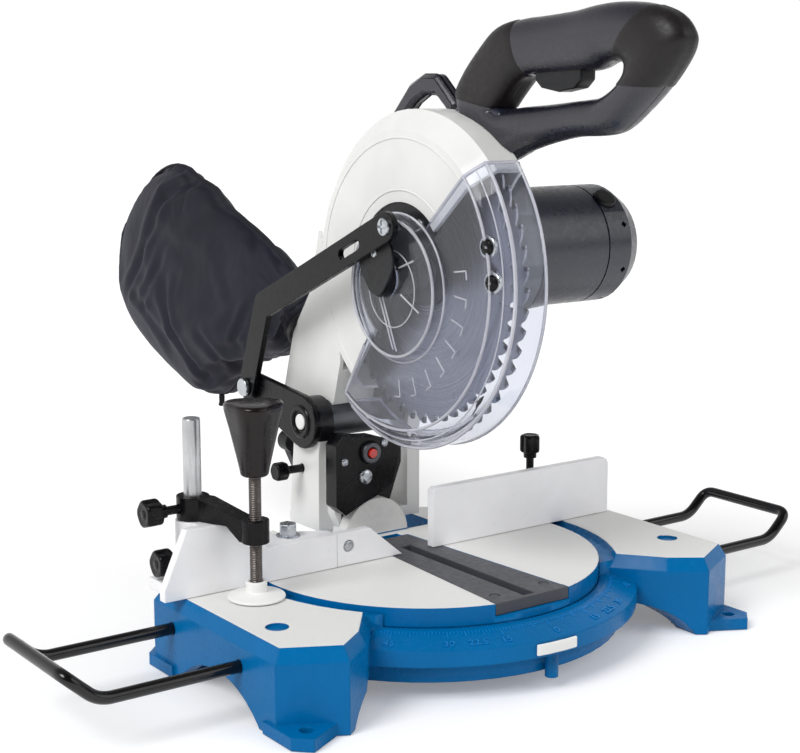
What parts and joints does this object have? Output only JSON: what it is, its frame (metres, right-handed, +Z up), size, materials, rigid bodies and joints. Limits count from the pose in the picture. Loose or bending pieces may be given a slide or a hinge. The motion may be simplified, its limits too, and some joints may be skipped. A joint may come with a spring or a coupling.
{
  "type": "mitre saw",
  "caption": "Bench mitre saw: turntable base with stock supports and clamp, tilting yoke, and a chop head with guarded blade, side motor, loop handle and dust bag.",
  "frame": {"origin": "on the bench, under the middle of the bounding box", "axes": "+Z up, +Y from the user towards the dust bag, +X to the motor side"},
  "size_m": [0.62, 0.663, 0.432],
  "materials": {
    "blue_paint": "gloss",
    "white_paint": "satin",
    "machined_alloy": "machined",
    "arm_casting": "cast",
    "black_paint": "satin",
    "black_plastic": "fine texture",
    "grey_plastic": "smooth",
    "white_plastic": "smooth",
    "steel": "brushed",
    "dark_steel": "blackened",
    "copper": "copper coloured",
    "clear_plastic": "clear",
    "red_lens": "clear red",
    "bag_cloth": "woven"
  },
  "bodies": {
    "base": {"base_casting": "blue_paint", "mitre_index_plate": "white_plastic", "pivot_bolt": "dark_steel", "fence_right": "white_paint", "fence_left": "white_paint", "fence_end_piece": "white_paint", "fence_bolt_right": "steel", "fence_bolt_left": "steel", "fence_block_bolt": "steel", "fence_end_bolt": "steel"},
    "left_support": {"support_bar_left": "black_paint"},
    "right_support": {"support_bar_right": "black_paint"},
    "table_lock": {"table_lock_knob": "black_plastic"},
    "table": {"turntable": "machined_alloy", "kerf_insert": "grey_plastic", "insert_screw_1": "dark_steel", "insert_screw_2": "dark_steel"},
    "tilt": {"tilt_yoke": "white_paint", "tilt_bolt": "steel", "hinge_pin": "dark_steel", "link_bracket": "black_paint", "lever_bolt": "steel", "laser_bracket": "black_plastic", "laser_module": "dark_steel", "laser_lens": "red_lens"},
    "bevel_lock": {"bevel_lock_lever": "black_plastic"},
    "transport_lock": {"transport_pin": "black_plastic"},
    "head": {"head_arm": "arm_casting", "upper_guard": "white_paint", "guard_hub_plate": "black_plastic", "guard_hub_cap": "black_plastic", "motor_housing": "black_plastic", "motor_end_cap": "black_plastic", "motor_stator": "copper", "brush_cap": "black_plastic", "handle_left": "black_plastic", "handle_right": "black_plastic", "carry_handle": "black_plastic", "dust_port": "black_plastic", "dust_bag": "bag_cloth"},
    "spindle_lock": {"spindle_lock_button": "black_plastic"},
    "trigger_key": {"trigger": "black_plastic"},
    "lock_off": {"lock_off_button": "black_plastic"},
    "moving_guard": {"lower_guard": "clear_plastic"},
    "guard_link": {"guard_lever": "black_paint"},
    "arbor": {"arbor_shaft": "steel", "blade": "steel", "blade_flange": "dark_steel", "arbor_bolt": "dark_steel", "arbor_gear": "steel"},
    "armature": {"motor_armature": "dark_steel", "motor_pinion": "steel", "motor_commutator": "copper"},
    "column": {"clamp_column": "steel"},
    "column_lock": {"column_lock_knob": "black_plastic"},
    "arm": {"clamp_arm": "black_plastic"},
    "arm_lock": {"arm_lock_knob": "black_plastic"},
    "pad": {"clamp_pad": "white_plastic"},
    "screw": {"clamp_screw": "dark_steel", "clamp_knob": "black_plastic"}
  },
  "joints": [
    {"name": "mitre_turn", "type": "hinge", "parent": "base", "child": "table", "pos_m": [0, -0.1075, 0.055], "axis": [0, 0, -1], "range_deg": [-45, 45]},
    {"name": "bevel_tilt", "type": "hinge", "parent": "table", "child": "tilt", "pos_m": [0, -0.1075, 0.055], "axis": [0, -1, 0], "range_deg": [0, 30]},
    {"name": "chop_swing", "type": "hinge", "parent": "tilt", "child": "head", "pos_m": [0, -0.0175, 0.14], "axis": [-1, 0, 0], "range_deg": [-44, 0], "stiffness_Nm_per_rad": 5, "springref_deg": 126.05},
    {"name": "blade_spin", "type": "hinge", "parent": "head", "child": "arbor", "pos_m": [0, -0.1125, 0.255], "axis": [1, 0, 0], "continuous": true},
    {"name": "motor_spin", "type": "hinge", "parent": "head", "child": "armature", "pos_m": [0, -0.15124, 0.27307], "axis": [1, 0, 0], "continuous": true},
    {"name": "guard_open", "type": "hinge", "parent": "head", "child": "moving_guard", "pos_m": [0, -0.1125, 0.255], "axis": [1, 0, 0], "range_deg": [-126, 0]},
    {"name": "guard_link_swing", "type": "hinge", "parent": "tilt", "child": "guard_link", "pos_m": [0, 0.0515, 0.156], "axis": [1, 0, 0], "range_deg": [0, 31.7]},
    {"name": "trigger_press", "type": "slide", "parent": "head", "child": "trigger_key", "axis": [0, 0, 1], "range_m": [0, 0.005], "stiffness_N_per_m": 400, "springref_m": -0.005},
    {"name": "lock_off_press", "type": "slide", "parent": "head", "child": "lock_off", "axis": [-1, 0, 0], "range_m": [0, 0.004], "stiffness_N_per_m": 400, "springref_m": -0.004},
    {"name": "spindle_lock_press", "type": "slide", "parent": "head", "child": "spindle_lock", "axis": [0, 0, 1], "range_m": [0, 0.003], "stiffness_N_per_m": 400, "springref_m": -0.004},
    {"name": "clamp_column_lift", "type": "slide", "parent": "base", "child": "column", "axis": [0, 0, -1], "range_m": [-0.03, 0]},
    {"name": "clamp_arm_swing", "type": "hinge", "parent": "column", "child": "arm", "pos_m": [-0.168, -0.0795, 0.055], "axis": [0, 0, -1], "range_deg": [0, 50]},
    {"name": "clamp_feed", "type": "slide", "parent": "arm", "child": "pad", "axis": [0, 0, -1], "range_m": [-0.025, 0]},
    {"name": "clamp_turn", "type": "hinge", "parent": "pad", "child": "screw", "pos_m": [-0.149, -0.1275, 0.055], "axis": [0, 0, -1], "range_deg": [-3000, 0]},
    {"name": "arm_lock_turn", "type": "hinge", "parent": "arm", "child": "arm_lock", "pos_m": [0, -0.0795, 0.109], "axis": [1, 0, 0], "range_deg": [0, 180]},
    {"name": "column_lock_turn", "type": "hinge", "parent": "base", "child": "column_lock", "pos_m": [0, -0.0795, 0.074], "axis": [1, 0, 0], "range_deg": [0, 180]},
    {"name": "table_lock_turn", "type": "hinge", "parent": "base", "child": "table_lock", "pos_m": [0.141, -0.0595, 0.055], "axis": [0, 0, 1], "range_deg": [0, 180]},
    {"name": "left_support_slide", "type": "slide", "parent": "base", "child": "left_support", "axis": [1, 0, 0], "range_m": [0, 0.07]},
    {"name": "right_support_slide", "type": "slide", "parent": "base", "child": "right_support", "axis": [-1, 0, 0], "range_m": [0, 0.07]},
    {"name": "bevel_lock_turn", "type": "hinge", "parent": "tilt", "child": "bevel_lock", "pos_m": [0, 0.0175, 0.055], "axis": [0, 1, 0], "range_deg": [-45, 5]},
    {"name": "transport_pull", "type": "slide", "parent": "tilt", "child": "transport_lock", "axis": [-1, 0, 0], "range_m": [0, 0.01]}
  ],
  "couplings": [
    {"joint": "motor_spin", "follows": "blade_spin", "ratio": -4.7},
    {"joint": "guard_open", "follows": "chop_swing", "ratio": 2.86},
    {"joint": "guard_link_swing", "follows": "chop_swing", "ratio": -0.72},
    {"joint": "clamp_turn", "follows": "clamp_feed", "rad_per_m": 2094.4}
  ]
}
